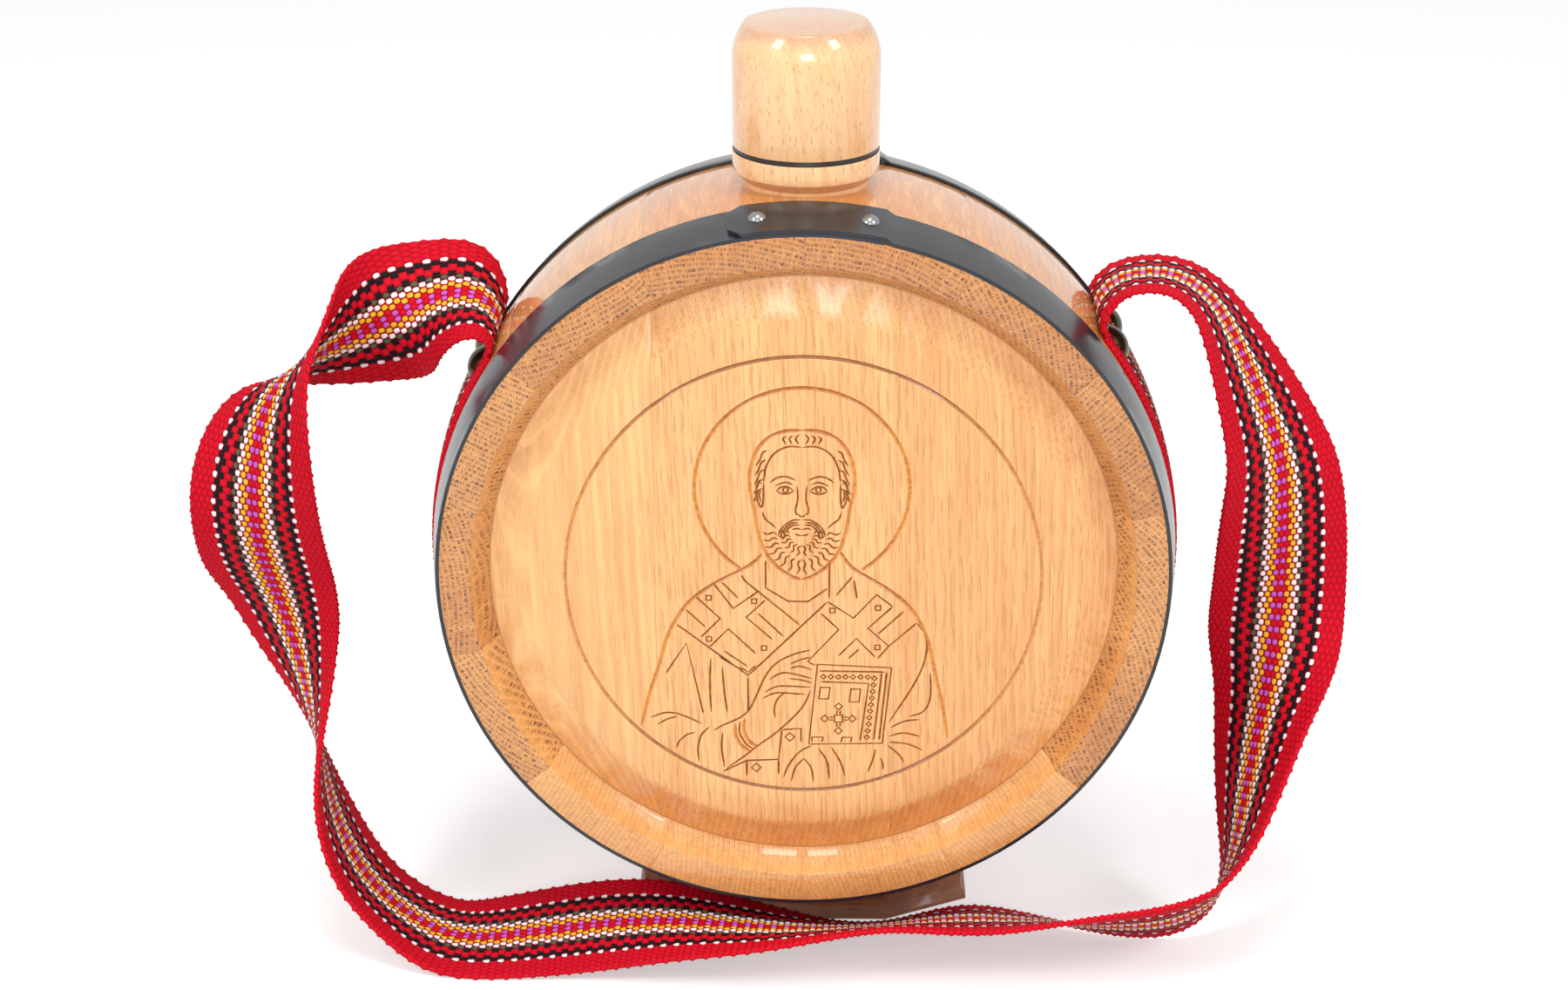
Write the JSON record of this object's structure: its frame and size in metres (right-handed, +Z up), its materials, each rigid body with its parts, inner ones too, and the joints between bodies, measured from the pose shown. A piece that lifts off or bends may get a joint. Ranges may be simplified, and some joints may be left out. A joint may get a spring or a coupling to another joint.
{
  "type": "barrel water flask",
  "caption": "Flat round water flask coopered from wooden staves between two heads, with steel hoops, a screw cap, a block foot and a woven carrying strap.",
  "frame": {"origin": "centre of the foot's underside, on the surface it stands on", "axes": "+Z up along the neck and cap, -Y out of the carved front head, +X to the right seen from the front"},
  "size_m": [0.3614, 0.1158, 0.2931],
  "materials": {
    "oak": "lacquered oak, end grain at the rims",
    "head_wood": "lacquered pale oak boards",
    "beech": "lacquered turned beech",
    "foot_wood": "lacquered beech block",
    "hoop_steel": "black lacquered steel band",
    "tack_bronze": "dark antique bronze",
    "strap_weave": "coarse striped woven band",
    "seal_rubber": "soft pale rubber"
  },
  "bodies": {
    "barrel": {"stave_01": "oak", "stave_02": "oak", "stave_03": "oak", "stave_04": "oak", "stave_05": "oak", "stave_06": "oak", "stave_07": "oak", "stave_08": "oak", "stave_09": "oak", "stave_10": "oak", "stave_11": "oak", "stave_12": "oak", "stave_13": "oak", "stave_14": "oak", "front_head_left_board": "head_wood", "front_head_centre_board": "head_wood", "front_head_right_board": "head_wood", "rear_head_left_board": "head_wood", "rear_head_centre_board": "head_wood", "rear_head_right_board": "head_wood", "front_hoop": "hoop_steel", "rear_hoop": "hoop_steel", "front_hoop_rivets": "hoop_steel", "rear_hoop_rivets": "hoop_steel", "neck_collar": "beech", "foot": "foot_wood", "strap_sling": "strap_weave", "strap_loop": "strap_weave", "left_strap_tacks": "tack_bronze", "right_strap_tacks": "tack_bronze"},
    "cap_liner": {"cap_seal": "seal_rubber"},
    "cap": {"cap": "beech"}
  },
  "joints": [
    {"name": "cap_lift", "type": "slide", "parent": "barrel", "child": "cap_liner", "axis": [0, 0, 1], "range_m": [0, 0.014]},
    {"name": "cap_turn", "type": "hinge", "parent": "cap_liner", "child": "cap", "pos_m": [0, 0, 0.27], "axis": [0, 0, 1], "range_deg": [0, 1260]}
  ],
  "couplings": [
    {"joint": "cap_lift", "follows": "cap_turn", "m_per_rad": 0.0006366}
  ]
}
